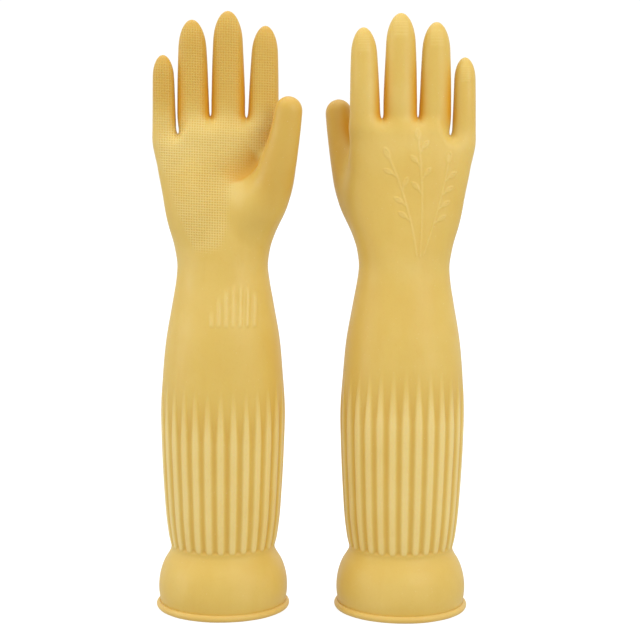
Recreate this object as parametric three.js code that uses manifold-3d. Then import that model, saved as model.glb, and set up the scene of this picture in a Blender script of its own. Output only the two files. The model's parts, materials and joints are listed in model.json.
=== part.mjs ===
// A pair of long-sleeved household gloves, dipped in natural latex, standing side by side on their rolled rims.
// One glove shows its palm to the front and the other its back. Both come from the same mould, a right hand.
//
// Units are millimetres, +Z is up. A glove's own frame has its origin at the middle of the rim, in the plane
// that it stands on, with the palm towards -Y and the thumb towards +X.
//
// The film of a real glove is one skin that bends anywhere. Here it is divided where it bends when it is worn:
// at the wrist, and at the root and the middle of each finger. Every hinge has a V-shaped notch on the side
// that closes, so that the rigid shells have room to turn.
import * as THREE from 'three';
import { mergeVertices } from 'three/addons/utils/BufferGeometryUtils.js';
import Module from 'manifold-3d';

const wasm = await Module();
wasm.setup();

// ---------------------------------------------------------------- driving dimensions

const FILM = 0.6; // thickness of the latex
const GAP = 0.3; // between pieces that touch on the real glove
const GLOVE_SPACING = 136; // between the middles of the two rims
const FACINGS = [0, Math.PI]; // glove 1 shows its palm to the front, glove 2 its back

const BEAD_TUBE = 2.6; // radius of the rolled rim's own section
const BEAD_RING = 48.1; // radius of the ring that it follows
const BEAD_FACETS = 8; // round the roll, with one facet flat on the ground
const BELL_BOTTOM = 2 * BEAD_TUBE + GAP;
const WAIST = 46.4; // height of the narrow place between the bell and the ribs
const RIBS_TOP = 168;
const RIB_COUNT = 28;
const RIB_DEPTH = 1.2;
const RIB_FADE = 14; // length over which a rib rises at its upper end
const WRIST = 262;

// Outline of the sleeve and palm: height, edge on the little-finger side, edge on the thumb side, half depth,
// and the power of the section, where 2 is an ellipse and more is squarer.
const ARM = [
  [BELL_BOTTOM, -47.7, 47.7, 47.7, 2],
  [14, -48.8, 48.8, 48.6, 2],
  [22, -48.5, 48.5, 48.0, 2],
  [30, -46.8, 46.8, 46.0, 2],
  [37, -43.6, 43.6, 42.5, 2],
  [43, -40.2, 40.2, 39.0, 2],
  [WAIST, -39.2, 39.2, 38.0, 2],
  [52, -40.2, 40.2, 38.7, 2],
  [64, -42.2, 42.2, 40.1, 2],
  [90, -44.4, 44.4, 41.8, 2],
  [127, -46.3, 46.3, 43.0, 2],
  [152, -46.8, 46.8, 43.0, 2],
  [180, -45.3, 45.3, 41.0, 2],
  [208, -42.6, 42.6, 37.4, 2],
  [235, -37.8, 37.8, 31.6, 2],
  [250, -35.2, 35.0, 28.4, 2],
  [WRIST, -34.3, 33.8, 26.6, 2],
  [275, -36.6, 35.6, 25.0, 2.1],
  [293, -42.0, 39.8, 22.8, 2.2],
  [315, -46.4, 42.6, 20.4, 2.3],
  [338, -49.6, 42.6, 18.0, 2.4],
  [357, -52.0, 41.4, 15.4, 2.5],
  [368, -52.4, 41.0, 12.2, 2.5],
];
const PALM_TOP = 371.5; // height of the webs between index, middle and ring finger
const PALM_TOP_INSET = 6; // how far the palm's upper edge is rounded in
const KNUCKLE_DROP = 11; // how much lower the web beside the little finger is

// Thumb, from inside the ball of the thumb to the start of its tip: height, middle x, middle y, half width, half depth.
const THUMB = [
  [286, 22.0, -6.0, 15.0, 12.5],
  [305, 30.5, -11.0, 16.8, 14.0],
  [322, 36.5, -16.5, 15.8, 13.6],
  [338, 41.2, -21.5, 13.4, 12.4],
  [352, 45.0, -25.0, 11.7, 11.4],
  [366, 47.6, -27.5, 10.8, 10.6],
  [387, 50.0, -29.0, 10.2, 10.0],
];
const THUMB_TIP_LENGTH = 18; // length of the rounded end
const THUMB_HINGES = [
  // the root spreads outwards and folds across the palm; the tip bends inwards
  { height: 351, axis: [-0.34, 0.92, 0.19], low: -30, high: 25 },
  { height: 366, axis: [0.4, -0.9, -0.2], low: 0, high: 45 },
];

// Fingers: middle of the root and of the tip across the hand, height of the tip, half width and half depth at the
// root, and the heights of the two hinges.
const FINGERS = {
  index: { root: 29.6, tip: 31.9, top: 439.5, width: 11.3, depth: 10.2, hinges: [382.5, 407] },
  middle: { root: 3.8, tip: 3.8, top: 450, width: 12.0, depth: 10.6, hinges: [383, 410] },
  ring: { root: -21.9, tip: -22.8, top: 443.5, width: 11.1, depth: 10.0, hinges: [382, 408] },
  little: { root: -43.4, tip: -44.6, top: 417.5, width: 9.3, depth: 8.6, hinges: [371.5, 391] },
};
const FINGER_ROOT_DEPTH = 24; // how far a finger's shape starts below its first hinge
const FINGER_TIP_SLENDERNESS = 1.65; // length of the rounded end, as a multiple of the half width at the root
const FINGER_TAPER = 0.88; // width at the start of the rounded end, as a share of the root's
const FINGER_CURL = 4; // how far a relaxed fingertip leans to the palm
const ROOT_BEND = { low: -10, high: 75 }; // travel of a finger's hinges, in degrees
const MIDDLE_BEND = { low: 0, high: 80 };
const WRIST_BEND = { low: -25, high: 35 };
const NOTCH_MARGIN = 3; // how many degrees more than its travel a hinge's notch is open

const ARM_SIDES = 24; // facets round each shape
const FINGER_SIDES = 14;
const SIDES_PER_RIB = 2;
const TIP_STEPS = 5;

// ---------------------------------------------------------------- materials

const latex = new THREE.MeshStandardMaterial({ color: 0xdebc6a, roughness: 0.55, metalness: 0 });
const rimLatex = new THREE.MeshStandardMaterial({ color: 0xe2b765, roughness: 0.5, metalness: 0 });

// ---------------------------------------------------------------- solids and shapes

// A closed geometry as a solid that can be cut and joined.
function solid(geometry) {
  const bare = geometry.clone();
  bare.deleteAttribute('normal');
  bare.deleteAttribute('uv');
  const merged = mergeVertices(bare, 1e-3);
  return new wasm.Manifold(new wasm.Mesh({
    numProp: 3,
    vertProperties: new Float32Array(merged.getAttribute('position').array),
    triVerts: new Uint32Array(merged.index.array),
  }));
}

// A solid as a named mesh.
function mesh(name, body, material) {
  const { numProp, vertProperties, triVerts } = body.getMesh();
  const positions = new Float32Array((vertProperties.length / numProp) * 3);
  for (let i = 0; i < positions.length / 3; i++) {
    positions.set(vertProperties.subarray(i * numProp, i * numProp + 3), i * 3);
  }
  const geometry = new THREE.BufferGeometry();
  geometry.setAttribute('position', new THREE.BufferAttribute(positions, 3));
  geometry.setIndex(new THREE.BufferAttribute(new Uint32Array(triVerts), 1));
  geometry.computeVertexNormals();
  const made = new THREE.Mesh(geometry, material);
  made.name = name;
  return made;
}

// A smooth curve through rows that start with a height; it gives the other columns at any height.
function throughRows(rows) {
  const heights = rows.map((row) => row[0]);
  const values = rows.flatMap((row) => row.slice(1));
  const curve = new THREE.CubicInterpolant(heights, values, rows[0].length - 1);
  return (z) => curve.evaluate(THREE.MathUtils.clamp(z, heights[0], heights.at(-1)));
}

// A closed body of revolution with flat ends, whose round section is then stretched to section(z, angle).
// A section is { x, y, halfWidth, halfDepth, power }. The body closes to a point at apex, if there is one.
function loft(section, levels, sides, apex = null) {
  const profile = [
    new THREE.Vector2(0, levels[0]),
    ...levels.map((z) => new THREE.Vector2(1, z)),
    new THREE.Vector2(0, apex ?? levels.at(-1)),
  ];
  const geometry = new THREE.LatheGeometry(profile, sides).rotateX(Math.PI / 2);
  const position = geometry.getAttribute('position');
  const point = new THREE.Vector3();
  for (let i = 0; i < position.count; i++) {
    point.fromBufferAttribute(position, i);
    const onAxis = Math.hypot(point.x, point.y) < 0.5;
    const angle = Math.atan2(point.y, point.x);
    const { x, y, halfWidth, halfDepth, power = 2 } = section(point.z, angle);
    const [c, s] = [Math.cos(angle), Math.sin(angle)];
    const reach = onAxis ? 0 : (Math.abs(c) ** power + Math.abs(s) ** power) ** (-1 / power);
    position.setXYZ(i, x + halfWidth * c * reach, y + halfDepth * s * reach, point.z);
  }
  return geometry;
}

function spaced(from, to, steps) {
  return Array.from({ length: steps + 1 }, (_, i) => from + ((to - from) * i) / steps);
}

// Heights down a rounded end: close together near its point.
function tipLevels(start, length) {
  return spaced(0, 1, TIP_STEPS)
    .slice(0, -1)
    .map((t) => start + length * Math.sin((t * Math.PI) / 2));
}

// ---------------------------------------------------------------- sleeve and palm

const armOutline = throughRows(ARM);

// Section of the sleeve or palm at a height, drawn in by inset all round.
function armSection(z, inset = 0) {
  const [low, high, depth, power] = armOutline(z);
  return {
    x: (low + high) / 2,
    y: 0,
    halfWidth: (high - low) / 2 - inset,
    halfDepth: depth - inset,
    power,
  };
}

// How far a point of the palm drops towards the little finger, where the web is lower.
function knuckleDrop(x, z) {
  const aside = THREE.MathUtils.smoothstep(-x, 22, 44);
  return KNUCKLE_DROP * aside * THREE.MathUtils.smoothstep(z, 315, 368);
}

// A length of sleeve, open at both ends. Furrows dent the whole film.
function sleeve({ bottom, top, steps, sides, furrow = () => 0 }) {
  const skin = (inset, overrun) => {
    const levels = [...spaced(bottom, top, steps)];
    levels[0] -= overrun;
    levels[steps] += overrun;
    return solid(loft((z, angle) => armSection(z, inset + furrow(z, angle)), levels, sides));
  };
  return skin(0, 0).subtract(skin(FILM, 1));
}

// The rim is rolled up into a bead.
function rolledBead() {
  const turn = (2 * Math.PI) / BEAD_FACETS;
  const radius = BEAD_TUBE / Math.cos(turn / 2);
  const corners = spaced(turn / 2, turn / 2 + 2 * Math.PI, BEAD_FACETS);
  const outline = corners.map((a) => {
    return new THREE.Vector2(BEAD_RING + radius * Math.cos(a), BEAD_TUBE + radius * Math.sin(a));
  });
  return solid(new THREE.LatheGeometry(outline, ARM_SIDES).rotateX(Math.PI / 2));
}

function bellCuff() {
  return sleeve({ bottom: BELL_BOTTOM, top: WAIST - GAP / 2, steps: 6, sides: ARM_SIDES });
}

// Furrows between the ribs run up the sleeve. They end short at the waist and fade out at the top.
function ribFurrow(z, angle) {
  const valley = 1 - Math.abs(Math.cos((RIB_COUNT * angle) / 2));
  const fadeIn = THREE.MathUtils.smoothstep(z, WAIST, WAIST + 6);
  const fadeOut = 1 - THREE.MathUtils.smoothstep(z, RIBS_TOP - RIB_FADE, RIBS_TOP);
  return RIB_DEPTH * valley * fadeIn * fadeOut;
}

function ribbedSleeve() {
  return sleeve({
    bottom: WAIST + GAP / 2,
    top: RIBS_TOP - GAP / 2,
    steps: 6,
    sides: RIB_COUNT * SIDES_PER_RIB,
    furrow: ribFurrow,
  });
}

// Plain forearm and palm as one body, up to the webs.
function armBody(inset) {
  const bottom = RIBS_TOP + GAP / 2 - (inset ? 1 : 0);
  const levels = [...spaced(bottom, WRIST, 4), 276, 292, 310, 330, 348, 360, PALM_TOP - 3];
  const section = (z) => {
    const rounding = PALM_TOP_INSET * THREE.MathUtils.smoothstep(z, PALM_TOP - 5, PALM_TOP);
    return armSection(z, inset + rounding);
  };
  const geometry = loft(section, [...levels, PALM_TOP - inset], ARM_SIDES);
  const position = geometry.getAttribute('position');
  for (let i = 0; i < position.count; i++) {
    position.setZ(i, position.getZ(i) - knuckleDrop(position.getX(i), position.getZ(i)));
  }
  return solid(geometry);
}

// ---------------------------------------------------------------- fingers and thumb

// Scale of a rounded end: 1 where it starts, 0 at its point.
function roundedEnd(z, top, length) {
  const share = THREE.MathUtils.clamp((z - (top - length)) / length, 0, 1);
  return Math.sqrt(1 - share ** 2);
}

function tipLength(finger) {
  return FINGER_TIP_SLENDERNESS * finger.width;
}

function fingerSection(finger, z, inset) {
  const bottom = finger.hinges[0] - FINGER_ROOT_DEPTH;
  const t = (z - bottom) / (finger.top - bottom);
  const above = Math.max(0, z - finger.hinges[0]) / (finger.top - finger.hinges[0]);
  const scale = THREE.MathUtils.lerp(1, FINGER_TAPER, t) * roundedEnd(z, finger.top, tipLength(finger));
  return {
    x: THREE.MathUtils.lerp(finger.root, finger.tip, t),
    y: -FINGER_CURL * above ** 2,
    halfWidth: Math.max(0, finger.width * scale - inset),
    halfDepth: Math.max(0, finger.depth * scale - inset),
  };
}

function fingerBody(finger, inset) {
  const bottom = finger.hinges[0] - FINGER_ROOT_DEPTH;
  const length = tipLength(finger);
  const shoulder = finger.top - length;
  const levels = [...spaced(bottom, shoulder, 3).slice(0, -1), ...tipLevels(shoulder, length - 2 * inset)];
  return solid(loft((z) => fingerSection(finger, z, inset), levels, FINGER_SIDES, finger.top - inset));
}

const thumbOutline = throughRows(THUMB);
const THUMB_TOP = THUMB.at(-1)[0];

function thumbSection(z, inset) {
  const [x, y, width, depth] = thumbOutline(z);
  const scale = roundedEnd(z, THUMB_TOP, THUMB_TIP_LENGTH);
  return {
    x,
    y,
    halfWidth: Math.max(0, width * scale - inset),
    halfDepth: Math.max(0, depth * scale - inset),
  };
}

function thumbBody(inset) {
  const shoulder = THUMB_TOP - THUMB_TIP_LENGTH;
  const levels = [
    ...spaced(THUMB[0][0], shoulder, 6).slice(0, -1),
    ...tipLevels(shoulder, THUMB_TIP_LENGTH - 2 * inset),
  ];
  return solid(loft((z) => thumbSection(z, inset), levels, FINGER_SIDES + 2, THUMB_TOP - inset));
}

// ---------------------------------------------------------------- hinges

// The room that a hinge needs: a double wedge whose edges meet on the axis. It is open by the joint's travel on
// either side, and extends reach to each side and span along the axis.
function notch({ origin, axis, along, bend, reach, span }) {
  const hinge = new THREE.Vector3(...axis).normalize();
  const opening = new THREE.Vector3().crossVectors(along, hinge).normalize();
  const up = new THREE.Vector3().crossVectors(hinge, opening);
  const rise = (degrees) => reach * Math.tan(THREE.MathUtils.degToRad((degrees + NOTCH_MARGIN) / 2)) + GAP;
  const wedge = new THREE.Shape([
    new THREE.Vector2(0, GAP),
    new THREE.Vector2(-reach, rise(bend.high)),
    new THREE.Vector2(-reach, -rise(bend.high)),
    new THREE.Vector2(0, -GAP),
    new THREE.Vector2(reach, -rise(-bend.low)),
    new THREE.Vector2(reach, rise(-bend.low)),
  ]);
  const geometry = new THREE.ExtrudeGeometry(wedge, { depth: span, bevelEnabled: false });
  geometry.translate(0, 0, -span / 2);
  geometry.applyMatrix4(new THREE.Matrix4().makeBasis(opening, up, hinge).setPosition(origin));
  return solid(geometry);
}

function fingerNotches(finger) {
  return finger.hinges.map((z, i) => {
    const { x, y, halfWidth } = fingerSection(finger, z, 0);
    return notch({
      origin: new THREE.Vector3(x, y, z),
      axis: [1, 0, 0],
      along: new THREE.Vector3(0, 0, 1),
      bend: i === 0 ? ROOT_BEND : MIDDLE_BEND,
      reach: finger.depth + 3,
      span: 2 * (halfWidth + 0.4),
    });
  });
}

function thumbNotches() {
  return THUMB_HINGES.map(({ height, axis, low, high }) => {
    const here = thumbSection(height, 0);
    const next = thumbSection(height + 5, 0);
    return notch({
      origin: new THREE.Vector3(here.x, here.y, height),
      axis,
      along: new THREE.Vector3(next.x - here.x, next.y - here.y, 5).normalize(),
      bend: { low, high },
      reach: 15,
      span: 30,
    });
  });
}

function wristNotch() {
  return notch({
    origin: new THREE.Vector3(0, 0, WRIST),
    axis: [1, 0, 0],
    along: new THREE.Vector3(0, 0, 1),
    bend: WRIST_BEND,
    reach: 40,
    span: 120,
  });
}

// ---------------------------------------------------------------- one glove

// The film above the ribs, cut at every hinge into separate shells.
function handShells() {
  const digits = Object.values(FINGERS);
  const filled = (inset) => wasm.Manifold.union([
    armBody(inset),
    thumbBody(inset),
    ...digits.map((finger) => fingerBody(finger, inset)),
  ]);
  const notches = [wristNotch(), ...thumbNotches(), ...digits.flatMap(fingerNotches)];
  return filled(0).subtract(filled(FILM)).subtract(wasm.Manifold.union(notches)).decompose();
}

function boxVolume({ min, max }) {
  return (max[0] - min[0]) * (max[1] - min[1]) * (max[2] - min[2]);
}

// The shell whose box holds a point, or the smallest of them.
function shellAt(shells, point) {
  const holds = ({ min, max }) => point.every((v, i) => v >= min[i] && v <= max[i]);
  const found = shells.filter((shell) => holds(shell.boundingBox()));
  found.sort((a, b) => boxVolume(a.boundingBox()) - boxVolume(b.boundingBox()));
  return found[0];
}

function glovePieces() {
  const shells = handShells();
  const between = (a, b) => (a + b) / 2;
  const pieces = {
    rolled_bead: rolledBead(),
    bell_cuff: bellCuff(),
    ribbed_sleeve: ribbedSleeve(),
    forearm_sleeve: shellAt(shells, [0, 0, between(RIBS_TOP, WRIST)]),
    palm: shellAt(shells, [0, 0, between(WRIST, PALM_TOP)]),
  };
  const [root, middle] = THUMB_HINGES.map((hinge) => hinge.height);
  const at = (z) => [thumbSection(z, 0).x, thumbSection(z, 0).y, z];
  pieces.thumb_base = shellAt(shells, at(between(root, middle)));
  pieces.thumb_tip = shellAt(shells, at(between(middle, THUMB_TOP)));
  for (const [name, finger] of Object.entries(FINGERS)) {
    const [low, high] = finger.hinges;
    const inside = (z) => [fingerSection(finger, z, 0).x, fingerSection(finger, z, 0).y, z];
    pieces[`${name}_base`] = shellAt(shells, inside(between(low, high)));
    pieces[`${name}_tip`] = shellAt(shells, inside(between(high, finger.top)));
  }
  return pieces;
}

// ---------------------------------------------------------------- the pair

const pair = new THREE.Group();
const pieces = glovePieces();
FACINGS.forEach((facing, i) => {
  const glove = new THREE.Group();
  glove.position.x = (i - 0.5) * GLOVE_SPACING;
  glove.rotation.z = facing;
  for (const [name, body] of Object.entries(pieces)) {
    glove.add(mesh(`glove_${i + 1}_${name}`, body, name === 'rolled_bead' ? rimLatex : latex));
  }
  pair.add(glove);
});

export default pair;
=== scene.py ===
"""Looks of a pair of long natural-latex household gloves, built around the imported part.

A glove is modelled once, in its own frame: millimetres, origin at the middle of the rim, palm towards
-Y and thumb towards +X. A coarse net of quads is drawn onto a smooth field, subdivided, given the moulded
relief, and cut into a piece for each CAD node along loops of vertices that the pieces share.
"""

import json
import math

import bpy
import numpy as np
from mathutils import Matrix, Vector


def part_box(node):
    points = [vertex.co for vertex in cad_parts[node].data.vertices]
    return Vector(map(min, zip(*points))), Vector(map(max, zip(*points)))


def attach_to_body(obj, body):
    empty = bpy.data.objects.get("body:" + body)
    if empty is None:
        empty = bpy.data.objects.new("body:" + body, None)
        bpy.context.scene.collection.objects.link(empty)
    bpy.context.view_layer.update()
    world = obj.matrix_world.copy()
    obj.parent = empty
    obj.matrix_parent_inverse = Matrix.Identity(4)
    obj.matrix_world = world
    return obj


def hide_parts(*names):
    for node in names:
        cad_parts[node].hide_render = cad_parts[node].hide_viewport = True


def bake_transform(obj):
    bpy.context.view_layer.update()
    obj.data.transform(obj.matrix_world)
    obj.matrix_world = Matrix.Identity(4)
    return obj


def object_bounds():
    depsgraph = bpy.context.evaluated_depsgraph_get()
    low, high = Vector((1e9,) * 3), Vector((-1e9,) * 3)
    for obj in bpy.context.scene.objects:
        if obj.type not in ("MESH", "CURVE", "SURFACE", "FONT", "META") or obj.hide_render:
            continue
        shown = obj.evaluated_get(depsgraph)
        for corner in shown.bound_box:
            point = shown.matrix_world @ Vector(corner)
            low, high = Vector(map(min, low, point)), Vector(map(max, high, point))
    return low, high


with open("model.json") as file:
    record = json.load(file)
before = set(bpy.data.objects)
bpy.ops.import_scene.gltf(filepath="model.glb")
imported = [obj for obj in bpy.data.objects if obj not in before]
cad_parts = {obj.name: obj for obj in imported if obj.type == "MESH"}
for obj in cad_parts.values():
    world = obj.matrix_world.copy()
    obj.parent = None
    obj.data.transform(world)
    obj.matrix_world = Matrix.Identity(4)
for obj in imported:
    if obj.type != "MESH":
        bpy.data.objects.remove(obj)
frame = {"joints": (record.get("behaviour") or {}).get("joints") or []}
CAD_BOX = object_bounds()
JOINTS = {joint["name"]: joint for joint in frame["joints"]}
MM = 1000.0

# ---------------- sizes from the CAD


def cad_box(node):
    """Lowest and highest corner of one of glove 1's CAD nodes, in the glove's own frame."""
    low, high = (np.array(corner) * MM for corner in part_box("glove_1_" + node))
    return low - RIM_CENTRE, high - RIM_CENTRE


def hinge(name):
    """Where one of glove 1's hinges is, in the glove's own frame."""
    return np.array(JOINTS["glove_1_" + name]["pos_m"]) * MM - RIM_CENTRE


_rim_low, _rim_high = (np.array(corner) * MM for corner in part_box("glove_1_rolled_bead"))
RIM_CENTRE = np.array([*((_rim_low + _rim_high) / 2)[:2], 0.0])
RIM_RADIUS = (_rim_high - _rim_low)[0] / 2
BEAD_HEIGHT = cad_box("rolled_bead")[1][2]
BELL_BOTTOM = BEAD_HEIGHT / 2
WAIST = cad_box("bell_cuff")[1][2]
RIBS_TOP = cad_box("ribbed_sleeve")[1][2]
WRIST = hinge("wrist_bend")[2]
GLOVES = {1: 0.0, 2: math.pi}

# ---------------- the glove's form

# Height, half width and half depth of the sleeve, which is an oval.
SLEEVE = [
    (0, 47.2, 47.2),
    (5, 47.8, 47.8),
    (14, 49, 48.7),
    (22, 48.7, 48),
    (30, 47, 46.2),
    (36.5, 44.4, 43.2),
    (42, 41, 39.8),
    (45.5, 39.4, 38.2),
    (48, 39.5, 38.3),
    (54, 40.8, 39.1),
    (64, 42.3, 40.2),
    (90, 44.4, 41.8),
    (127, 46.3, 43),
    (152, 46.8, 43),
    (180, 45.3, 41),
    (208, 42.6, 37.4),
    (235, 37.8, 31.6),
]
# Height, edge on the little-finger side, edge on the thumb side, half depth, power of the section.
HAND = [
    (250, -35.2, 35, 28.4, 2),
    (262, -34.3, 33.8, 26.6, 2),
    (275, -36.3, 35.6, 25, 2.1),
    (293, -41, 39.8, 22.8, 2.2),
    (315, -45.4, 42, 20.4, 2.3),
    (338, -49.5, 42, 18, 2.4),
    (357, -51, 41.2, 15, 2.5),
    (372, -51.3, 41, 12.4, 2.5),
]
ARM = np.array([(height, -width, width, depth, 2) for height, width, depth in SLEEVE] + HAND)
PALM_TOP = 369.0  # height of the webs between index, middle and ring finger, before they are rounded
LITTLE_WEB_DROP = 11.5
LITTLE_WEB_STEP = (24.0, 33.0)  # how far aside the palm's top steps down to it
HAND_FOOT = 235.0  # below this height there is only the arm
HOLLOW_MIDDLE = (15.0, 336.0)  # of the slanting dish in the palm side
HOLLOW_DEPTH, PAD_DEPTH = 0.27, 0.07  # of it and of the pads under the fingers, as shares of the palm's
THUMB_LINE = np.array([  # height, middle and radius of the thumb
    (290, 23, -6, 14),
    (306, 31, -10.8, 16),
    (322, 37, -15.6, 15.6),
    (337, 41.2, -20.2, 13.8),
    (351, 44.8, -23.8, 12.1),
    (364, 47.5, -26.4, 11),
    (376.6, 49.4, -28, 10.3),
])
BALL_OF_THUMB = {"centre": (24.0, -7.5, 308.0), "radii": (17.5, 19.0, 27.0), "lean": math.radians(33)}
HEEL_OF_HAND = {"centre": (-19.0, -4.5, 306.0), "radii": (19.0, 17.5, 32.0), "lean": math.radians(-8)}

# Middle of a finger at its root and tip, height of its tip, half width, half depth, and the height where it
# has its full width.
FINGERS = {
    "little": {"root": -43.8, "tip": -44.3, "top": 417.5, "width": 9.2, "depth": 8.9, "foot": 366},
    "ring": {"root": -21.8, "tip": -22.8, "top": 443.5, "width": 12.1, "depth": 10.3, "foot": 374},
    "middle": {"root": 3.8, "tip": 3.8, "top": 450, "width": 12.7, "depth": 10.8, "foot": 376},
    "index": {"root": 29.6, "tip": 31.6, "top": 439.5, "width": 11.5, "depth": 10.4, "foot": 375},
}
FINGER_FOOT = 350.0
FOOT_LENGTH = 28.0
FINGER_TAPER = 0.20  # how much narrower a finger is at its end
TAPER_LENGTH = 66.0
TAPER_POWER = 1.2
TIP_SLENDERNESS = 1.65  # length of the rounded end, as a multiple of the half width
FINGER_CURL = 4.0

# How far around a seam two forms run into each other.
PALM_TOP_SOFTNESS = 9.0
HEEL_SOFTNESS = 9.0
BALL_SOFTNESS = 7.0
WEB_SOFTNESS = 7.0
THUMB_SOFTNESS = 7.0
FINGER_SOFTNESS = 1.4


def smoothstep(x, low, high):
    t = np.clip((x - low) / (high - low), 0, 1)
    return t * t * (3 - 2 * t)


def window(x, start, full, fade, end):
    """Rises from 0 at start to 1 at full, and falls from fade to 0 again at end."""
    return smoothstep(x, start, full) * (1 - smoothstep(x, fade, end))


def hump(*offsets):
    """1 where all the offsets are 0, and smoothly down to nothing around it."""
    return np.exp(-sum(offset**2 for offset in offsets))


def smooth_curve(rows):
    """A smooth curve through rows that start with a height, as a function of the height."""
    heights, values = rows[:, 0], rows[:, 1:]
    slopes = np.gradient(values, heights, axis=0)

    def at(z):
        z = np.clip(z, heights[0], heights[-1])
        i = np.clip(np.searchsorted(heights, z, side="right") - 1, 0, len(heights) - 2)
        span = heights[i + 1] - heights[i]
        t = ((z - heights[i]) / span)[..., None]
        span = span[..., None]
        rise = (2 * t**3 - 3 * t**2 + 1) * values[i] + (3 * t**2 - 2 * t**3) * values[i + 1]
        return rise + (t**3 - 2 * t**2 + t) * span * slopes[i] + (t**3 - t**2) * span * slopes[i + 1]

    return at


arm_at = smooth_curve(ARM)


def circle(angle):
    """Points of the unit circle."""
    return np.stack([np.cos(angle), np.sin(angle)], axis=1)


def lengths_along(line):
    """Distance of each point of a line from its first, along it."""
    return np.concatenate([[0], np.cumsum(np.linalg.norm(np.diff(line, axis=0), axis=1))])


def soft_min(a, b, softness):
    h = np.clip(softness - np.abs(a - b), 0, None) / softness
    return np.minimum(a, b) - h * h * softness / 4


def section_field(dx, dy, half_width, half_depth, power):
    """About the distance from a superelliptical tube's wall, negative inside."""
    u = np.abs(dx) / half_width + 1e-9
    v = np.abs(dy) / half_depth + 1e-9
    r = (u**power + v**power) ** (1 / power)
    slope = r ** (1 - power) * np.hypot(u ** (power - 1) / half_width, v ** (power - 1) / half_depth)
    return (r - 1) / slope


def palm_side_depth(x, z):
    """Depth of the palm side as a share of the plain one: dished in the middle, full under the fingers."""
    aside, above = x - HOLLOW_MIDDLE[0], z - HOLLOW_MIDDLE[1]
    along, across = aside * 0.85 + above * 0.53, above * 0.85 - aside * 0.53
    pads = np.exp(-(((x + 4) / 34) ** 4) - ((z - 359) / 8) ** 2)
    return 1 - HOLLOW_DEPTH * hump(along / 18, across / 10) + PAD_DEPTH * pads


def arm_field(p):
    x, y, z = p.T
    low, high, depth, power = np.moveaxis(arm_at(z), -1, 0)
    depth = depth * np.where(y < 0, palm_side_depth(x, z), 1)
    wall = section_field(x - (low + high) / 2, y, (high - low) / 2, depth, power)
    top = PALM_TOP - LITTLE_WEB_DROP * smoothstep(-x, *LITTLE_WEB_STEP)
    return -soft_min(-wall, top - z, PALM_TOP_SOFTNESS)


def ellipsoid_field(p, centre, radii, lean):
    """About the distance from an ellipsoid that leans sideways."""
    q = p - np.array(centre)
    c, s = math.cos(lean), math.sin(lean)
    q = np.stack([c * q[:, 0] - s * q[:, 2], q[:, 1], s * q[:, 0] + c * q[:, 2]], axis=1)
    k = np.linalg.norm(q / np.array(radii), axis=1) + 1e-9
    slope = np.linalg.norm(q / np.array(radii) ** 2, axis=1) / k + 1e-9
    return (k - 1) / slope


def finger_middle(finger, z):
    """Middle, half width and half depth of a finger at a height, without the rounding of its end."""
    t = (z - FINGER_FOOT) / (finger["top"] - FINGER_FOOT)
    narrowing = np.clip(1 - (finger["top"] - z) / TAPER_LENGTH, 0, 1)
    scale = 1 - FINGER_TAPER * narrowing**TAPER_POWER
    lean = np.clip((z - PALM_TOP) / (finger["top"] - PALM_TOP), 0, 1)
    x = finger["root"] + (finger["tip"] - finger["root"]) * t
    return x, -FINGER_CURL * lean**2, finger["width"] * scale, finger["depth"] * scale


def tip_length(finger):
    return TIP_SLENDERNESS * finger["width"]


def finger_field(p, finger):
    x, y, z = p.T
    middle_x, middle_y, width, depth = finger_middle(finger, z)
    length = tip_length(finger)
    aside, ahead = x - middle_x, y - middle_y
    across = np.hypot(aside / width, ahead / depth)
    beyond = np.clip((z - (finger["top"] - length)) / length, 0, None)
    below = np.clip((finger["foot"] - z) / FOOT_LENGTH, 0, None)
    r = np.sqrt(across**2 + beyond**2 + below**2) + 1e-9
    reach = np.sqrt(aside**2 + ahead**2 + (beyond * length) ** 2 + (below * FOOT_LENGTH) ** 2)
    return reach * (1 - 1 / r)


thumb_at = smooth_curve(THUMB_LINE)
THUMB_STATIONS = np.linspace(THUMB_LINE[0, 0], THUMB_LINE[-1, 0], 30)
THUMB_ROWS = thumb_at(THUMB_STATIONS)
THUMB_CHAIN = np.column_stack([THUMB_ROWS[:, :2], THUMB_STATIONS, THUMB_ROWS[:, 2]])


def thumb_field(p):
    """About the distance from a chain of many short round cones."""
    nearest = np.full(len(p), 1e9)
    for a, b in zip(THUMB_CHAIN[:-1], THUMB_CHAIN[1:]):
        along = b[:3] - a[:3]
        t = np.clip(((p - a[:3]) @ along) / (along @ along), 0, 1)
        d = np.linalg.norm(p - a[:3] - t[:, None] * along, axis=1) - (a[3] + t * (b[3] - a[3]))
        nearest = np.minimum(nearest, d)
    return nearest


def glove_field(p):
    """Zero on the glove's surface, negative inside, about the distance near it."""
    hand = p[:, 2] > HAND_FOOT
    out = np.empty(len(p))
    out[~hand] = arm_field(p[~hand])
    q = p[hand]
    f = arm_field(q)
    f = soft_min(f, ellipsoid_field(q, **HEEL_OF_HAND), HEEL_SOFTNESS)
    digits = np.full(len(q), 1e9)
    for finger in FINGERS.values():
        digits = soft_min(digits, finger_field(q, finger), FINGER_SOFTNESS)
    f = soft_min(f, digits, WEB_SOFTNESS)
    thumb = soft_min(thumb_field(q), ellipsoid_field(q, **BALL_OF_THUMB), BALL_SOFTNESS)
    out[hand] = soft_min(f, thumb, THUMB_SOFTNESS)
    return out


def field_slope(p, step=0.05):
    out = np.empty_like(p)
    for axis in range(3):
        shift = np.zeros(3)
        shift[axis] = step
        out[:, axis] = (glove_field(p + shift) - glove_field(p - shift)) / (2 * step)
    return out


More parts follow.
